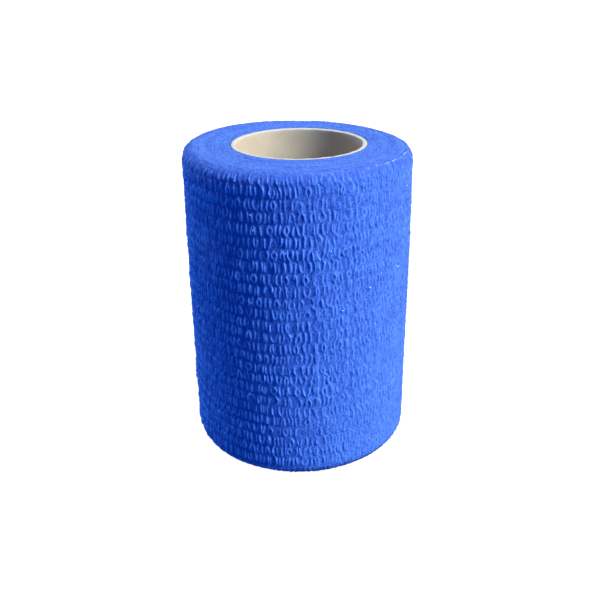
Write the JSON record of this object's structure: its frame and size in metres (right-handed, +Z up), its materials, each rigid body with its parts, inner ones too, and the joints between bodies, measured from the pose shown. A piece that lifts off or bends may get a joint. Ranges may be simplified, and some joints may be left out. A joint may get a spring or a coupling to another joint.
{
  "type": "cohesive bandage roll",
  "caption": "Roll of self-adherent elastic bandage cloth wound on a short card tube, standing on its end, with a puckered wall in rows and flat end faces.",
  "frame": {"origin": "middle of the face that the roll stands on", "axes": "+Z up along the roll's axis; the picture looks along +Y with +X to its right, and the cloth's free end is at the back, towards +Y"},
  "size_m": [0.0546, 0.0562, 0.075],
  "materials": {
    "cloth": "matt puckered non-woven cloth, royal blue",
    "card": "matt grey-beige card with pale cut rims"
  },
  "bodies": {
    "root": {"bandage": "cloth", "core": "card"}
  },
  "joints": []
}
